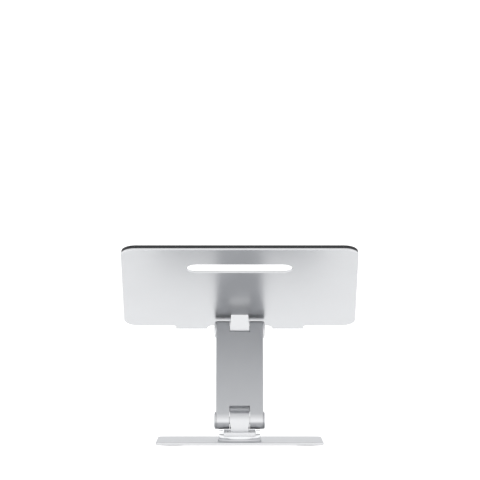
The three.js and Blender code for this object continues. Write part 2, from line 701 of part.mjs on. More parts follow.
function addTray(group) {
  const slab = plate(trayOutline(), TRAY_THICKNESS).translate(0, 0, TRAY_AXIS_DROP);
  const screwPlaces = [];
  for (const [end, y] of [["front", NECK_MIDDLE - TRAY_SCREW_Y], ["rear", NECK_MIDDLE + TRAY_SCREW_Y]])
    for (const [side, x] of [["left", -TRAY_SCREW_X], ["right", TRAY_SCREW_X]])
      screwPlaces.push([`tray_screw_${end}_${side}`, x, y]);
  const screwHoles = () =>
    screwPlaces.map(([, x, y]) =>
      screwHole(TRAY_SCREW_LENGTH).rotateX(Math.PI).translate(x, y, TRAY_TOP),
    );
  const whole = join(slab, lip(-LIP_OUTER_X, -LIP_INNER_X), lip(LIP_INNER_X, LIP_OUTER_X));
  add(group, "tray_plate", cut(whole, ...screwHoles()), anodised);
  for (const [name, x, y] of screwPlaces)
    add(group, name, screw(TRAY_SCREW_LENGTH).rotateX(Math.PI), steel, [x, y, TRAY_TOP]);

  // The leaning neck is made too long, and then faced off under the tray.
  const overlong = (TRAY_SEAT + BARREL_RADIUS) / Math.cos(NECK_LEAN);
  const neck = knuckleAndNeck(overlong, UPPER_FLARE_END).rotateX(-NECK_LEAN);
  const over = 2 * overlong;
  const facing = block(-KNUCKLE_WIDTH, KNUCKLE_WIDTH, -over, over, TRAY_SEAT, over);
  const bracket = cut(neck, facing, sleeveHole(), ...screwHoles());
  add(group, "upper_bracket", bracket, anodised);
  add(group, "upper_hinge_sleeve", sleeve(), nylon);

  addPads(group);
}

function addPads(group) {
  const padHalf = TRAY_WIDTH / 2 - PAD_INSET;
  const rear = TRAY_REAR - PAD_INSET;
  const onTray = [0, 0, TRAY_TOP + GLUE_LINE];
  const rearOutline = roundedRectangle(
    -padHalf,
    padHalf,
    rear - REAR_PAD_DEPTH,
    rear,
    PAD_CORNER,
    TRAY_CORNER - PAD_INSET,
  );
  add(group, "rear_pad", plate(rearOutline, PAD_THICKNESS), silicone, onTray);

  const frontStart = TRAY_FRONT + FRONT_PAD_SETBACK;
  const lipMiddle = (LIP_INNER_X + LIP_OUTER_X) / 2;
  const lipPadFace = TRAY_FRONT - LIP_REACH - LIP_BEND + GLUE_LINE;
  const lipPadBottom = TRAY_TOP + LIP_BEND + GLUE_LINE;
  const lipPadHalf = (LIP_OUTER_X - LIP_INNER_X) / 2 - LIP_PAD_MARGIN;
  for (const [side, x] of [["left", -lipMiddle], ["right", lipMiddle]]) {
    const outline = roundedRectangle(
      x - FRONT_PAD_LENGTH / 2,
      x + FRONT_PAD_LENGTH / 2,
      frontStart,
      frontStart + FRONT_PAD_DEPTH,
      PAD_CORNER,
    );
    add(group, `front_pad_${side}`, plate(outline, PAD_THICKNESS, 1, PAD_CORNER_STEPS), silicone, onTray);

    const face = roundedRectangle(x - lipPadHalf, x + lipPadHalf, 0, LIP_PAD_HEIGHT, PAD_CORNER);
    const pad = upright(plate(face, LIP_PAD_THICKNESS, 1, PAD_CORNER_STEPS));
    add(group, `lip_pad_${side}`, pad, silicone, [0, lipPadFace + LIP_PAD_THICKNESS, lipPadBottom]);
  }
}

// ---- Assembly --------------------------------------------------------------

const stand = new THREE.Group();
addBase(stand);

const swivel = new THREE.Group();
swivel.position.set(0, SWIVEL_Y, BASE_TOP);
addFixedSwivel(swivel);
addTurntable(swivel);
stand.add(swivel);

const arm = new THREE.Group();
arm.position.set(0, 0, LOWER_AXIS_HEIGHT);
arm.rotation.x = degrees(ARM_LEAN);
addArm(arm);
swivel.add(arm);

const tray = new THREE.Group();
tray.position.set(0, 0, ARM_SPAN);
tray.rotation.x = degrees(TRAY_TILT - ARM_LEAN);
addTray(tray);
arm.add(tray);

export default stand;
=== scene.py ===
import json
import math

import bmesh
import bpy
from bpy.props import FloatProperty, FloatVectorProperty, IntProperty, PointerProperty
from mathutils import Matrix, Vector


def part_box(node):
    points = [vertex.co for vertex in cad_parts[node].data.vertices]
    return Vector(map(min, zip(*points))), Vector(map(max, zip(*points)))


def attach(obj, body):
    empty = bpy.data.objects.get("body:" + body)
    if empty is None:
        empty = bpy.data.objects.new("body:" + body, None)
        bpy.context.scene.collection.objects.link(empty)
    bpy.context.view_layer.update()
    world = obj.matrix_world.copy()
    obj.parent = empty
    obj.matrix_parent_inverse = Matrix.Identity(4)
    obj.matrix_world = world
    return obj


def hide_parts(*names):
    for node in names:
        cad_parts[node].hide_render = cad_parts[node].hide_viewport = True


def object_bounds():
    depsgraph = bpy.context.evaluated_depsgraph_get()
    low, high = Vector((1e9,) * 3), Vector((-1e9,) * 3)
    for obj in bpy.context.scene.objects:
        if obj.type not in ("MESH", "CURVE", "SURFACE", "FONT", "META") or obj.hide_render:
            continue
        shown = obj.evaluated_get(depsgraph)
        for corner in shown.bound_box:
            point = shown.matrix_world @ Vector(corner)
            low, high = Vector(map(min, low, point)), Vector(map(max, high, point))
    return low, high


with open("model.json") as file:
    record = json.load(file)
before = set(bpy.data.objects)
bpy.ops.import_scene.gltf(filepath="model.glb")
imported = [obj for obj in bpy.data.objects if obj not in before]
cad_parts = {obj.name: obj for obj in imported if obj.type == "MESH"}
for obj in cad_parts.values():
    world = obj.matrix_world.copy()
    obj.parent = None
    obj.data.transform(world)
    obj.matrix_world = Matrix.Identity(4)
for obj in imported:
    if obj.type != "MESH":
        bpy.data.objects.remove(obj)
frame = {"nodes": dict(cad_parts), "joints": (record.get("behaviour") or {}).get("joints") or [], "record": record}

bl_info = {
    "name": "Folding laptop stand",
    "version": (1, 0, 0),
    "blender": (4, 5, 0),
    "location": "View3D > Sidebar > Laptop Stand",
    "description": "Finishes, domed caps, silicone pads, rubber feet and a studio for the stand",
    "category": "Object",
}

MM = 0.001
CAD_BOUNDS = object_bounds()


# ---- Fixed sizes ---------------------------------------------------------------

WELD_DISTANCE = 0.002 * MM
ROUNDED_ABOVE = math.radians(32)  # the facets of a barrel meet at less, and stay as they are
SHARP_ABOVE = math.radians(40)
ROUNDING_STEPS = 3
FACE_AREA_WEIGHT = 50

FOOT_RINGS = (0.4, 0.7)  # radii of the moulded rings, as shares of the foot's radius
FOOT_RIM = 0.45  # rounding of the foot's rim, as a share of its height
FOOT_RIM_STEPS = 5

CAP_GAP = 0.05 * MM  # between a cap and the end of its barrel
CAP_BREAK = 0.15 * MM  # broken edge where a cap faces the barrel
CAP_RIM_STEPS = 6
DOME_ANGLES = range(10, 90, 10)
SPIGOT_STEP = 2.3 * MM  # how much slimmer the spigot in the barrel is than its cap
HOLLOW_DEPTH = 0.6 * MM  # of the hollow in a spigot's end
HOLLOW_MOUTH = 0.6 * MM  # wall round the hollow at its mouth
HOLLOW_FLOOR = 0.8 * MM  # wall round the hollow at its floor

PAD_CORNER = 3 * MM
REAR_PAD_CORNER = 14.5 * MM  # follows the tray's rear corners
PAD_CORNER_STEPS = 8
RIB_MARGIN = 0.6 * MM  # between a pad's rounded edge and the nearest rib
RIB_ROOT = 0.2 * MM  # how far a rib reaches down into its pad
RIB_ROUNDING = 0.9  # rounding of a rib's top, as a share of its height
RIB_END_STEPS = 5

SENSOR_WIDTH = 36
CLIP_END = 100
FLOOR_REACH = 30.0
FLOOR_GAP = 0.02 * MM
CEILING_FADE = (0.2, 0.9)  # heights of direction at which the walls end and the ceiling begins
SOFTBOX_SIZE = 2.4
SOFTBOX_PLACE = (0, 0.2, 2.2)


# ---- Places taken from the frame -----------------------------------------------

JOINTS = {joint["name"]: joint for joint in frame["joints"]}
MOUNTS = {mount["name"]: mount for mount in frame["record"]["mounts"]}
SWIVEL_AXIS = Vector(JOINTS["swivel"]["pos_m"])
LOWER_AXIS = Vector(JOINTS["arm_lift"]["pos_m"])
UPPER_AXIS = Vector(JOINTS["tray_tilt"]["pos_m"])


def frame_on(origin, up):
    """The matrix of a frame with +X kept, +Z along up and +Y behind it."""
    z = Vector(up).normalized()
    x = Vector((1, 0, 0))
    y = z.cross(x)
    return Matrix.Translation(origin) @ Matrix((x, y, z)).transposed().to_4x4()


TRAY_FRAME = frame_on(UPPER_AXIS, MOUNTS["laptop_rest_rear"]["axis"])
LIP_FRAME = TRAY_FRAME @ Matrix.Rotation(math.radians(-90), 4, "X")
ARM_FRAME = frame_on(LOWER_AXIS, UPPER_AXIS - LOWER_AXIS)


def box_in(matrix, node):
    """A CAD node's lowest and highest corners in another frame."""
    inverse = matrix.inverted()
    points = [inverse @ vertex.co for vertex in frame["nodes"][node].data.vertices]
    low = Vector([min(p[i] for p in points) for i in range(3)])
    high = Vector([max(p[i] for p in points) for i in range(3)])
    return low, high


def nodes_named(part):
    """The CAD nodes with this in their names, in order. Finding none is an error."""
    found = [node for node in sorted(frame["nodes"]) if part in node]
    if not found:
        raise ValueError(f"the frame has no node with {part} in its name")
    return found


# ---- Colours and settings ------------------------------------------------------


def linear(hex_colour):
    """The linear colour of an sRGB hex value."""
    parts = [int(hex_colour[i : i + 2], 16) / 255 for i in (1, 3, 5)]
    return tuple(c / 12.92 if c <= 0.04045 else ((c + 0.055) / 1.055) ** 2.4 for c in parts)


def length(name, description, millimetres):
    """A size that the user can change, with its default in millimetres."""
    return FloatProperty(
        name=name,
        description=description,
        default=millimetres * MM,
        min=0.0,
        unit="LENGTH",
        subtype="DISTANCE",
        precision=5,
    )


def colour(name, description, hex_colour):
    """A colour that the user can change, with its default as an sRGB hex value."""
    return FloatVectorProperty(
        name=name,
        description=description,
        default=linear(hex_colour),
        size=3,
        min=0.0,
        max=1.0,
        subtype="COLOR",
    )


class StandSizes(bpy.types.PropertyGroup):
    """Sizes of the details that the frame leaves open."""

    plate_edge: length("Plate edge", "Rounding of the base plate's, tray's and rings' edges", 0.35)
    bar_edge: length("Bar edge", "Rounding of the arm's and brackets' edges", 0.45)
    small_edge: length("Small edge", "Rounding of screws, nuts, washers and sleeves", 0.12)
    cap_rounding: length("Cap rounding", "Radius at the rim of a hinge cap", 1.2)
    cap_rim: length("Cap rim", "Height of a hinge cap's rim over the barrel", 1.3)
    pad_edge: length("Pad edge", "Rounding of the silicone pads' edges", 0.35)
    rib_pitch: length("Rib pitch", "Distance between the pads' anti-slip ribs", 3.0)
    rib_width: length("Rib width", "Width of an anti-slip rib", 1.4)
    rib_height: length("Rib height", "Height of an anti-slip rib over the pad", 0.2)
    foot_groove: length("Foot groove", "Depth of the rings moulded into a rubber foot", 0.25)
    round_steps: IntProperty(
        name="Round steps",
        description="Facets round a turned piece",
        default=96,
        min=24,
        max=256,
    )


class StandColours(bpy.types.PropertyGroup):
    """Base colours of the finishes."""

    anodised: colour("Anodised aluminium", "Clear anodised, bead-blasted plate and bar", "#D0D1D3")
    polished: colour("Polished aluminium", "Turned and polished rings", "#D6D7D9")
    zinc: colour("Zinc", "Zinc-plated screws, pins and nuts", "#A9ABAE")
    nylon: colour("Nylon", "Moulded slip ring and sleeves", "#26272A")
    silicone: colour("Silicone", "Moulded silicone pads", "#27282A")
    rubber: colour("Foot rubber", "Moulded rubber feet", "#B4B5B6")
    floor: colour("Floor", "Opal acrylic of the light table", "#D2D2D1")


class StandStudio(bpy.types.PropertyGroup):
    """The camera and the lights."""

    camera_distance: length("Camera distance", "From the swivel axis to the camera", 5094.6)
    camera_height: length("Camera height", "Above the floor", 210.1)
    camera_side: length("Camera side", "How far the camera stands to one side", 0.36)
    focal_length: FloatProperty(
        name="Focal length",
        description="Lens in millimetres on a 36 mm sensor",
        default=370.9,
        min=10.0,
        subtype="DISTANCE_CAMERA",
    )
    wall_strength: FloatProperty(
        name="Wall strength",
        description="Radiance of the white surroundings",
        default=1.32,
        min=0.0,
    )
    ceiling_strength: FloatProperty(
        name="Ceiling strength",
        description="Radiance straight overhead",
        default=1.0,
        min=0.0,
    )
    floor_glow: FloatProperty(
        name="Floor glow",
        description="Radiance of the light table from below",
        default=0.57,
        min=0.0,
    )
    top_light_power: FloatProperty(
        name="Top light",
        description="Power of the large soft light overhead",
        default=20.0,
        min=0.0,
        unit="POWER",
    )


# ---- Finishes ------------------------------------------------------------------


def add_node(tree, kind, inputs=(), **settings):
    """Adds one shader node. Each input is given its value, or the socket that feeds it."""
    node = tree.nodes.new(kind)
    for name, value in settings.items():
        setattr(node, name, value)
    for name, value in dict(inputs).items():
        if isinstance(value, bpy.types.NodeSocket):
            tree.links.new(value, node.inputs[name])
        else:
            node.inputs[name].default_value = value
    return node


def new_material(name):
    """An empty material, its tree, and the object coordinates that every pattern uses."""
    material = bpy.data.materials.new(name)
    material.use_nodes = True
    tree = material.node_tree
    tree.nodes.clear()
    return material, tree, add_node(tree, "ShaderNodeTexCoord").outputs["Object"]


def end_material(tree, inputs):
    """Ends a material with its surface shader, joined to the output."""
    shader = add_node(tree, "ShaderNodeBsdfPrincipled", inputs)
    add_node(tree, "ShaderNodeOutputMaterial", {"Surface": shader.outputs["BSDF"]})


def blobs(millimetres):
    """The scale of a noise whose blobs are about this long."""
    return 1.0 / (millimetres * MM)


def shade(base, factor):
    """A lighter or darker shade of a base colour, with its alpha."""
    return (*(min(1.0, c * factor) for c in base), 1.0)


def bead_blasted_aluminium(base):
    """Aluminium alloy, bead-blasted and clear anodised.

    The blasting gives the eye a fine even grain and a soft satin shine, and the oxide film
    keeps it pale.
    """
    material, tree, place = new_material("bead_blasted_aluminium")
    # Glass beads leave dimples of about 0.1 mm, drawn at 0.5 mm because finer ones don't show.
    grain = add_node(
        tree,
        "ShaderNodeTexNoise",
        {"Vector": place, "Scale": blobs(0.5), "Detail": 3.0, "Roughness": 0.6},
    )
    # Cloudy differences in the etch, and faint marks of hands, some centimetres across.
    clouds = add_node(
        tree,
        "ShaderNodeTexNoise",
        {"Vector": place, "Scale": blobs(35), "Detail": 3.0},
    ).outputs["Fac"]
    tone = add_node(
        tree,
        "ShaderNodeMix",
        {"Factor": clouds, "A": shade(base, 0.965), "B": shade(base, 1.02)},
        data_type="RGBA",
    )
    satin = add_node(
        tree, "ShaderNodeMapRange", {"Value": clouds, "To Min": 0.26, "To Max": 0.32}
    )
    dimples = add_node(
        tree,
        "ShaderNodeBump",
        {"Height": grain.outputs["Fac"], "Distance": 0.02 * MM, "Strength": 0.35},
    )
    surface = {
        "Base Color": tone.outputs["Result"],
        "Metallic": 1.0,
        "Roughness": satin.outputs["Result"],
        # The oxide film dulls the metal where it is seen at a glance.
        "Specular Tint": (*linear("#CDCED0"), 1),
        "Normal": dimples.outputs["Normal"],
    }
    end_material(tree, surface)
    return material


def turned_polished_aluminium(base):
    """Aluminium turned on a lathe and polished.

    The eye sees a bright, mirror-like surface with fine concentric tool marks.
    """
    material, tree, place = new_material("turned_polished_aluminium")
    centred = add_node(
        tree, "ShaderNodeMapping", {"Vector": place, "Location": -SWIVEL_AXIS}
    ).outputs["Vector"]
    # Tool marks 0.1 mm apart, drawn 2.5 mm apart because finer ones don't show. At a scale of
    # 1 a wave's rings are a tenth of pi apart.
    marks = add_node(
        tree,
        "ShaderNodeTexWave",
        {
            "Vector": centred,
            "Scale": math.pi / 10 / (2.5133 * MM),
            "Distortion": 0.4,
            "Detail": 1.0,
        },
        wave_type="RINGS",
        rings_direction="Z",
    )
    # Smears left by the polishing cloth, about a centimetre long.
    smears = add_node(
        tree, "ShaderNodeTexNoise", {"Vector": place, "Scale": blobs(9)}
    ).outputs["Fac"]
    tone = add_node(
        tree,
        "ShaderNodeMix",
        {"Factor": smears, "A": shade(base, 0.95), "B": shade(base, 1.02)},
        data_type="RGBA",
    )
    polish = add_node(
        tree, "ShaderNodeMapRange", {"Value": smears, "To Min": 0.05, "To Max": 0.1}
    )
    rings = add_node(
        tree,
        "ShaderNodeBump",
        {"Height": marks.outputs["Fac"], "Distance": 0.004 * MM, "Strength": 0.3},
    )
    surface = {
        "Base Color": tone.outputs["Result"],
        "Metallic": 1.0,
        "Roughness": polish.outputs["Result"],
        "Normal": rings.outputs["Normal"],
    }
    end_material(tree, surface)
    return material


def zinc_plated_steel(base):
    """Steel with bright zinc plating: a greyer metal with faint blue and yellow patches."""
    material, tree, place = new_material("zinc_plated_steel")
    # Patches where the passivation is thicker, some millimetres across.
    patches = add_node(
        tree, "ShaderNodeTexNoise", {"Vector": place, "Scale": blobs(2.5)}
    ).outputs["Fac"]
    red, green, blue = base
    tone = add_node(
        tree,
        "ShaderNodeMix",
        {
            "Factor": patches,
            "A": (red * 0.93, green * 0.97, blue * 1.02, 1),
            "B": (red * 1.04, green * 1.0, blue * 0.93, 1),
        },
        data_type="RGBA",
    )
    sheen = add_node(
        tree, "ShaderNodeMapRange", {"Value": patches, "To Min": 0.24, "To Max": 0.36}
    )
    # Plating crystals are some hundredths of a millimetre, drawn at 0.3 mm so that they show.
    crystals = add_node(tree, "ShaderNodeTexNoise", {"Vector": place, "Scale": blobs(0.3)})
    relief = add_node(
        tree,
        "ShaderNodeBump",
        {"Height": crystals.outputs["Fac"], "Distance": 0.01 * MM, "Strength": 0.4},
    )
    surface = {
        "Base Color": tone.outputs["Result"],
        "Metallic": 1.0,
        "Roughness": sheen.outputs["Result"],
        "Normal": relief.outputs["Normal"],
    }
    end_material(tree, surface)
    return material


def moulded(name, base, ior, specular, roughness, grain_mm, depth_mm):
    """A moulded polymer: slight mottling, and the spark-eroded grain of its mould."""
    material, tree, place = new_material(name)
    # Uneven pigment and mould release, about 6 mm across.
    mottle = add_node(
        tree, "ShaderNodeTexNoise", {"Vector": place, "Scale": blobs(6)}
    ).outputs["Fac"]
    tone = add_node(
        tree,
        "ShaderNodeMix",
        {"Factor": mottle, "A": shade(base, 0.88), "B": shade(base, 1.12)},
        data_type="RGBA",
    )
    skin = add_node(
        tree,
        "ShaderNodeMapRange",
        {"Value": mottle, "To Min": roughness[0], "To Max": roughness[1]},
    )
    grain = add_node(
        tree,
        "ShaderNodeTexNoise",
        {"Vector": place, "Scale": blobs(grain_mm), "Detail": 3.0, "Roughness": 0.6},
    )
    relief = add_node(
        tree,
        "ShaderNodeBump",
        {"Height": grain.outputs["Fac"], "Distance": depth_mm * MM, "Strength": 0.5},
    )
    surface = {
        "Base Color": tone.outputs["Result"],
        "IOR": ior,
        "Specular IOR Level": specular,
        "Roughness": skin.outputs["Result"],
        "Normal": relief.outputs["Normal"],
    }
    end_material(tree, surface)
    return material


def moulded_nylon(base):
    """Injection-moulded nylon: dark and slightly waxy, with a soft, fairly tight shine.

    Its mould grain is about 0.1 mm, drawn at 0.4 mm so that it shows.
    """
    return moulded(
        "moulded_nylon",
        base,
        ior=1.53,
        specular=0.5,
        roughness=(0.4, 0.55),
        grain_mm=0.4,
        depth_mm=0.02,
    )


def moulded_silicone(base):
    """Moulded silicone rubber: it scatters softly and has a dull, dusty skin.

    Its mould grain is about 0.1 mm, drawn at 0.5 mm so that it shows.
    """
    return moulded(
        "moulded_silicone",
        base,
        ior=1.41,
        specular=0.4,
        roughness=(0.6, 0.75),
        grain_mm=0.5,
        depth_mm=0.03,
    )


def moulded_foot_rubber(base):
    """Moulded grey rubber: matt and even, with hardly any shine.

    Its mould grain is about 0.1 mm, drawn at 0.5 mm so that it shows.
    """
    return moulded(
        "moulded_foot_rubber",
        base,
        ior=1.52,
        specular=0.4,
        roughness=(0.6, 0.8),
        grain_mm=0.5,
        depth_mm=0.03,
    )


def light_table_acrylic(base):
    """A matt opal acrylic sheet, lit from below, so that contact shadows stay pale."""
    material, tree, place = new_material("light_table_acrylic")
    # The matt face's stipple is about 0.5 mm, drawn at 3 mm because finer doesn't show.
    stipple = add_node(tree, "ShaderNodeTexNoise", {"Vector": place, "Scale": blobs(3)})
    # The sheet's opal filler varies slowly, over some 40 cm.
    unevenness = add_node(tree, "ShaderNodeTexNoise", {"Vector": place, "Scale": blobs(400)})
    tone = add_node(
        tree,
        "ShaderNodeMix",
        {"Factor": unevenness.outputs["Fac"], "A": shade(base, 0.985), "B": shade(base, 1.0)},
        data_type="RGBA",
    )
    relief = add_node(
        tree,
        "ShaderNodeBump",
        {"Height": stipple.outputs["Fac"], "Distance": 0.05 * MM, "Strength": 0.2},
    )
    surface = {
        "Base Color": tone.outputs["Result"],
        "Roughness": 0.9,
        "Specular IOR Level": 0.1,
        "Normal": relief.outputs["Normal"],
        "Emission Color": (1, 1, 1, 1),
        "Emission Strength": bpy.context.scene.stand_studio.floor_glow,
    }
    end_material(tree, surface)
    return material


# Each slot's finish, and its colour among the settings.
FINISHES = {
    "anodised_aluminium": (bead_blasted_aluminium, "anodised"),
    "polished_aluminium": (turned_polished_aluminium, "polished"),
    "steel": (zinc_plated_steel, "zinc"),
    "nylon": (moulded_nylon, "nylon"),
    "silicone": (moulded_silicone, "silicone"),
    "foot_rubber": (moulded_foot_rubber, "rubber"),
    "floor": (light_table_acrylic, "floor"),
}
MADE = {}


def finish(slot):
    """The finish of a material slot, made at its first use and then shared."""
    if slot not in MADE:
        make, base = FINISHES[slot]
        MADE[slot] = make(getattr(bpy.context.scene.stand_colours, base))
    return MADE[slot]


# ---- Mesh helpers --------------------------------------------------------------


def sizes():
    """The sizes as the user has set them."""
    return bpy.context.scene.stand_sizes


def dress(node, slot, edge):
    """Gives a CAD node its finish, and rounds its edges with modifiers, not in its mesh."""
    piece = frame["nodes"][node]
    piece.data.materials.clear()
    piece.data.materials.append(finish(slot))
    piece.data.polygons.foreach_set("use_smooth", [True] * len(piece.data.polygons))
    weld = piece.modifiers.new("weld", "WELD")
    weld.merge_threshold = WELD_DISTANCE
    rounding = piece.modifiers.new("edges", "BEVEL")
    rounding.width = edge
    rounding.segments = ROUNDING_STEPS
    rounding.limit_method = "ANGLE"
    rounding.angle_limit = ROUNDED_ABOVE
    # Flat faces keep their own normals, so no shading streaks cross them.
    shading = piece.modifiers.new("shading", "WEIGHTED_NORMAL")
    shading.mode = "FACE_AREA_WITH_ANGLE"
    shading.weight = FACE_AREA_WEIGHT


def new_piece(name, mesh, slot, body, replaced):
    """Links a finished bmesh as a piece that rides on a body and stands for a CAD node."""
    bmesh.ops.recalc_face_normals(mesh, faces=mesh.faces)
    data = bpy.data.meshes.new(name)
    mesh.to_mesh(data)
    mesh.free()
    data.polygons.foreach_set("use_smooth", [True] * len(data.polygons))
    data.set_sharp_from_angle(angle=SHARP_ABOVE)
    piece = bpy.data.objects.new(name, data)
    bpy.context.scene.collection.objects.link(piece)
    data.materials.append(finish(slot))
    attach(piece, body)
    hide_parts(replaced)
    return piece


def turned(profile, steps, place):
    """A solid turned about a place's +Z, from (radius, height) pairs that begin and end on it."""
    mesh = bmesh.new()
    turns = [2 * math.pi * i / steps for i in range(steps)]
    rings = []
    for radius, height in profile:
        if radius == 0:
            rings.append([mesh.verts.new(place @ Vector((0, 0, height)))] * steps)
            continue
        points = [(radius * math.cos(a), radius * math.sin(a), height) for a in turns]
        rings.append([mesh.verts.new(place @ Vector(point)) for point in points])
    for low, high in zip(rings, rings[1:]):
        for i in range(steps):
            j = (i + 1) % steps
            # On the axis a ring is one vertex, so the face there is a triangle.
            mesh.faces.new(list(dict.fromkeys([low[i], low[j], high[j], high[i]])))
    return mesh


def arc(centre_radius, centre_height, radius, start, end, steps):
    """Points of a profile along an arc, with its angles in degrees from the outward direction."""
    angles = [math.radians(start + (end - start) * i / steps) for i in range(steps + 1)]
    return [
        (centre_radius + radius * math.cos(a), centre_height + radius * math.sin(a)) for a in angles
    ]


def rounded_outline(low, high, front, rear, steps):
    """A rectangle's outline, anticlockwise, with one corner radius in front and one behind."""
    corners = [
        (high.x - front, low.y + front, front, -90),
        (high.x - rear, high.y - rear, rear, 0),
        (low.x + rear, high.y - rear, rear, 90),
        (low.x + front, low.y + front, front, 180),
    ]
    points = []
    for x, y, radius, start in corners:
        points += arc(x, y, radius, start, start + 90, steps)
    return points


def raise_slab(mesh, outline, bottom, top, edge, place):
    """Adds a closed slab over an outline, its upper edge rounded."""
    count = len(outline)
    centre = Vector((sum(x for x, y in outline), sum(y for x, y in outline))) / count
    half_length = max(abs(x - centre.x) for x, y in outline)
    half_width = max(abs(y - centre.y) for x, y in outline)
    levels = [(0.0, bottom), (0.0, top - edge)]
    for i in range(1, ROUNDING_STEPS + 1):
        angle = math.pi / 2 * i / ROUNDING_STEPS
        levels.append((edge * (1 - math.cos(angle)), top - edge + edge * math.sin(angle)))
    loops = []
    for inset, height in levels:
        along = 1 - inset / half_length
        across = 1 - inset / half_width
        points = [
            (centre.x + (x - centre.x) * along, centre.y + (y - centre.y) * across, height)
            for x, y in outline
        ]
        loops.append([mesh.verts.new(place @ Vector(point)) for point in points])
    for low, high in zip(loops, loops[1:]):
        for i in range(count):
            j = (i + 1) % count
            mesh.faces.new((low[i], low[j], high[j], high[i]))
    mesh.faces.new(loops[-1])
    mesh.faces.new(loops[0][::-1])


# ---- Operators -----------------------------------------------------------------


class STAND_OT_stage(bpy.types.Operator):
    """Set up the camera, the pale floor and the soft studio light"""

    bl_idname = "laptop_stand.stage"
    bl_label = "Stage"
    bl_options = {"REGISTER", "UNDO"}

    def execute(self, context):
        studio = context.scene.stand_studio
        self.add_camera(context.scene, studio)
        self.add_floor(context.scene)
        self.add_surroundings(context.scene, studio)
        self.add_softbox(context.scene, studio)
        context.scene.view_settings.view_transform = "Standard"
        return {"FINISHED"}

    def add_camera(self, scene, studio):
        """A long lens behind the stand, looking level."""
        data = bpy.data.cameras.new("stand_camera")
        data.lens = studio.focal_length
        data.sensor_width = SENSOR_WIDTH
        data.clip_end = CLIP_END
        camera = bpy.data.objects.new("stand_camera", data)
        camera.location = (
            -studio.camera_side,
            SWIVEL_AXIS.y + studio.camera_distance,
            studio.camera_height,
        )
        camera.rotation_euler = (math.radians(90), 0, math.radians(180))
        scene.collection.objects.link(camera)
        scene.camera = camera

    def add_floor(self, scene):
        """The light table, just under the feet."""
        mesh = bmesh.new()
        bmesh.ops.create_grid(mesh, x_segments=2, y_segments=2, size=FLOOR_REACH)
        data = bpy.data.meshes.new("studio_floor")
        mesh.to_mesh(data)
        mesh.free()
        floor = bpy.data.objects.new("studio_floor", data)
        floor.location.z = CAD_BOUNDS[0][2] - FLOOR_GAP
        data.materials.append(finish("floor"))
        scene.collection.objects.link(floor)

    def add_surroundings(self, scene, studio):
        """White walls all round, and a ceiling that is dimmer than they are."""
        world = bpy.data.worlds.new("studio_surroundings")
        world.use_nodes = True
        tree = world.node_tree
        tree.nodes.clear()
        direction = add_node(tree, "ShaderNodeTexCoord").outputs["Generated"]
        height = add_node(tree, "ShaderNodeSeparateXYZ", {"Vector": direction}).outputs["Z"]
        strength = add_node(
            tree,
            "ShaderNodeMapRange",
            {
                "Value": height,
                "From Min": CEILING_FADE[0],
                "From Max": CEILING_FADE[1],
                "To Min": studio.wall_strength,
                "To Max": studio.ceiling_strength,
            },
            interpolation_type="SMOOTHSTEP",
        ).outputs["Result"]
        sky = add_node(
            tree, "ShaderNodeBackground", {"Color": (1, 1, 1, 1), "Strength": strength}
        )
        add_node(tree, "ShaderNodeOutputWorld", {"Surface": sky.outputs["Background"]})
        scene.world = world

    def add_softbox(self, scene, studio):
        """A large square soft light overhead."""
        data = bpy.data.lights.new("top_softbox", "AREA")
        data.shape = "SQUARE"
        data.size = SOFTBOX_SIZE
        data.energy = studio.top_light_power
        light = bpy.data.objects.new("top_softbox", data)
        light.location = SOFTBOX_PLACE
        # It would burn out the tray's top as a mirror image, so it only adds soft light.
        light.visible_glossy = False
        scene.collection.objects.link(light)


class STAND_OT_base(bpy.types.Operator):
    """Finish the base plate and its screws, and mould its four rubber feet"""

    bl_idname = "laptop_stand.base"
    bl_label = "Base"
    bl_options = {"REGISTER", "UNDO"}

    def execute(self, context):
        dress("base_plate", "anodised_aluminium", sizes().plate_edge)
        for node in nodes_named("base_foot"):
            self.mould_foot(node)
        for node in nodes_named("ring_screw"):
            dress(node, "steel", sizes().small_edge)
        return {"FINISHED"}

    def mould_foot(self, node):
        """A rubber disc with a rounded rim and two rings moulded into its underside."""
        low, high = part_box(node)
        centre = (low + high) / 2
        radius = (high.x - low.x) / 2
        height = high.z - low.z
        groove = sizes().foot_groove
        rim = FOOT_RIM * height
        profile = [(0, 0)]
        for share in FOOT_RINGS:
            middle = radius * share
            profile += [
                (middle - 2 * groove, 0),
                (middle - groove, groove),
                (middle + groove, groove),
                (middle + 2 * groove, 0),
            ]
        profile += arc(radius - rim, rim, rim, -90, 0, FOOT_RIM_STEPS)
        profile += [(radius, height), (0, height)]
        place = Matrix.Translation((centre.x, centre.y, low.z))
        mesh = turned(profile, sizes().round_steps, place)
        new_piece(f"{node}_moulded", mesh, "foot_rubber", "base", node)


class STAND_OT_swivel(bpy.types.Operator):
    """Finish the swivel's turned rings, the turntable and the bolt stack"""

    bl_idname = "laptop_stand.swivel"
    bl_label = "Swivel"
    bl_options = {"REGISTER", "UNDO"}

    def execute(self, context):
        dress("swivel_flange", "anodised_aluminium", sizes().plate_edge)
        dress("swivel_ring", "polished_aluminium", sizes().plate_edge)
        dress("turntable_disc", "polished_aluminium", sizes().plate_edge)
        dress("swivel_slip_ring", "nylon", sizes().small_edge)
        for part in ("disc_spring_1", "disc_spring_2", "washer", "bolt"):
            dress(f"swivel_{part}", "steel", sizes().small_edge)
        return {"FINISHED"}


class STAND_OT_brackets(bpy.types.Operator):
    """Finish the two hinge brackets and the sleeves in their knuckles"""

    bl_idname = "laptop_stand.brackets"
    bl_label = "Brackets"
    bl_options = {"REGISTER", "UNDO"}

    def execute(self, context):
        for end in ("lower", "upper"):
            dress(f"{end}_bracket", "anodised_aluminium", sizes().bar_edge)
            dress(f"{end}_hinge_sleeve", "nylon", sizes().small_edge)
        return {"FINISHED"}


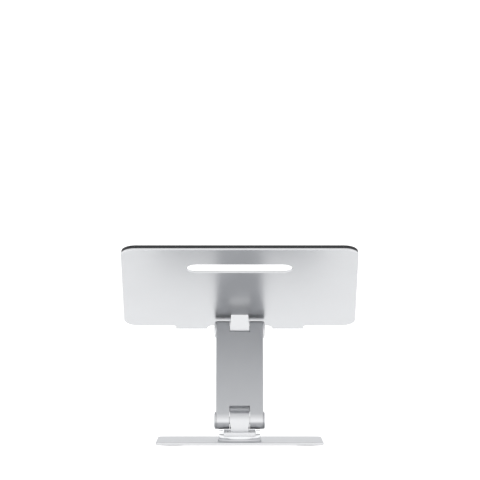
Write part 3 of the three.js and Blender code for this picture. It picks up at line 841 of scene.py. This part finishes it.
class STAND_OT_arm(bpy.types.Operator):
    """Finish the arm and the friction stacks in its forks"""

    bl_idname = "laptop_stand.arm"
    bl_label = "Arm"
    bl_options = {"REGISTER", "UNDO"}

    def execute(self, context):
        dress("arm_plate", "anodised_aluminium", sizes().bar_edge)
        for end in ("lower", "upper"):
            for part in ("pin", "washer", "disc_spring_1", "disc_spring_2", "nut"):
                dress(f"{end}_hinge_{part}", "steel", sizes().small_edge)
        return {"FINISHED"}


class STAND_OT_caps(bpy.types.Operator):
    """Turn the four domed end caps of the hinge barrels"""

    bl_idname = "laptop_stand.caps"
    bl_label = "Hinge caps"
    bl_options = {"REGISTER", "UNDO"}

    def execute(self, context):
        for node in nodes_named("_cap_"):
            self.turn_cap(node)
        return {"FINISHED"}

    def turn_cap(self, node):
        """A domed cap over the barrel's end, with a hollow-ended spigot inside the barrel."""
        low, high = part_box(node)
        axis = LOWER_AXIS if node.startswith("lower") else UPPER_AXIS
        outwards = 1 if node.endswith("right") else -1
        tip = high.x if outwards > 0 else -low.x
        spigot_end = low.x if outwards > 0 else -high.x
        hollow_floor = spigot_end + HOLLOW_DEPTH
        radius = (high.z - low.z) / 2
        spigot = radius - SPIGOT_STEP
        face = box_in(ARM_FRAME, "arm_plate")[1].x + CAP_GAP
        rounding = sizes().cap_rounding
        rim = face + sizes().cap_rim - CAP_GAP
        dome_radius = radius - rounding
        profile = [(0, hollow_floor), (spigot - HOLLOW_FLOOR, hollow_floor)]
        profile += [(spigot - HOLLOW_MOUTH, spigot_end), (spigot, spigot_end), (spigot, face)]
        profile += [(radius - CAP_BREAK, face), (radius, face + CAP_BREAK)]
        profile += arc(dome_radius, rim - rounding, rounding, 0, 90, CAP_RIM_STEPS)
        for degrees in DOME_ANGLES:
            angle = math.radians(degrees)
            profile.append((dome_radius * math.cos(angle), rim + (tip - rim) * math.sin(angle)))
        profile.append((0, tip))
        turn = Matrix.Rotation(math.radians(90 * outwards), 4, "Y")
        place = Matrix.Translation((0, axis.y, axis.z)) @ turn
        mesh = turned(profile, sizes().round_steps, place)
        new_piece(f"{node}_turned", mesh, "anodised_aluminium", "arm", node)


class STAND_OT_tray(bpy.types.Operator):
    """Finish the tray with its bent lips, and its screws"""

    bl_idname = "laptop_stand.tray"
    bl_label = "Tray"
    bl_options = {"REGISTER", "UNDO"}

    def execute(self, context):
        dress("tray_plate", "anodised_aluminium", sizes().plate_edge)
        for node in nodes_named("tray_screw"):
            dress(node, "steel", sizes().small_edge)
        return {"FINISHED"}


class STAND_OT_pads(bpy.types.Operator):
    """Mould the silicone pads on the tray and on its lips"""

    bl_idname = "laptop_stand.pads"
    bl_label = "Silicone pads"
    bl_options = {"REGISTER", "UNDO"}

    def execute(self, context):
        self.mould("rear_pad", TRAY_FRAME, REAR_PAD_CORNER)
        for side in ("left", "right"):
            self.mould(f"front_pad_{side}", TRAY_FRAME, PAD_CORNER)
            self.mould(f"lip_pad_{side}", LIP_FRAME, PAD_CORNER)
        return {"FINISHED"}

    def mould(self, node, place, rear):
        """A pad with a rounded upper edge and its own rear corners, ribbed along its length."""
        low, high = box_in(place, node)
        edge = sizes().pad_edge
        rib = sizes().rib_height
        body_top = high.z - rib
        mesh = bmesh.new()
        outline = rounded_outline(low, high, PAD_CORNER, rear, PAD_CORNER_STEPS)
        raise_slab(mesh, outline, low.z, body_top, edge, place)
        half_width = sizes().rib_width / 2
        pitch = sizes().rib_pitch
        margin = edge + half_width + RIB_MARGIN
        room = high.y - low.y - 2 * margin
        count = max(1, int(room / pitch) + 1)
        start = (low.y + high.y - (count - 1) * pitch) / 2
        for i in range(count):
            y = start + i * pitch
            inset = margin
            if y > high.y - rear:
                inset += rear - math.sqrt(max(0.0, rear**2 - (y - high.y + rear) ** 2))
            rib_low = Vector((low.x + inset, y - half_width, 0))
            rib_high = Vector((high.x - inset, y + half_width, 0))
            outline = rounded_outline(rib_low, rib_high, half_width, half_width, RIB_END_STEPS)
            raise_slab(mesh, outline, body_top - RIB_ROOT, high.z, RIB_ROUNDING * rib, place)
        piece = new_piece(f"{node}_moulded", mesh, "silicone", "tray", node)


# ---- Panel and registration ----------------------------------------------------

STEPS = (
    STAND_OT_stage,
    STAND_OT_base,
    STAND_OT_swivel,
    STAND_OT_brackets,
    STAND_OT_arm,
    STAND_OT_caps,
    STAND_OT_tray,
    STAND_OT_pads,
)
GROUPS = {
    "stand_sizes": StandSizes,
    "stand_colours": StandColours,
    "stand_studio": StandStudio,
}


class STAND_PT_sidebar(bpy.types.Panel):
    """The stand's sizes, colours and building steps"""

    bl_idname = "STAND_PT_sidebar"
    bl_label = "Laptop Stand"
    bl_space_type = "VIEW_3D"
    bl_region_type = "UI"
    bl_category = "Laptop Stand"

    def draw(self, context):
        for step in STEPS:
            self.layout.operator(step.bl_idname)
        for group in GROUPS:
            box = self.layout.box()
            settings = getattr(context.scene, group)
            for name in settings.bl_rna.properties.keys():
                if name not in ("rna_type", "name"):
                    box.prop(settings, name)


def register():
    for group, kind in GROUPS.items():
        bpy.utils.register_class(kind)
        setattr(bpy.types.Scene, group, PointerProperty(type=kind))
    for kind in (*STEPS, STAND_PT_sidebar):
        bpy.utils.register_class(kind)


def unregister():
    for kind in (STAND_PT_sidebar, *reversed(STEPS)):
        bpy.utils.unregister_class(kind)
    for group, kind in reversed(GROUPS.items()):
        delattr(bpy.types.Scene, group)
        bpy.utils.unregister_class(kind)


def main():
    register()
    bpy.ops.laptop_stand.stage()
    bpy.ops.laptop_stand.base()
    bpy.ops.laptop_stand.swivel()
    bpy.ops.laptop_stand.brackets()
    bpy.ops.laptop_stand.arm()
    bpy.ops.laptop_stand.caps()
    bpy.ops.laptop_stand.tray()
    bpy.ops.laptop_stand.pads()


if __name__ == "__main__":
    main()
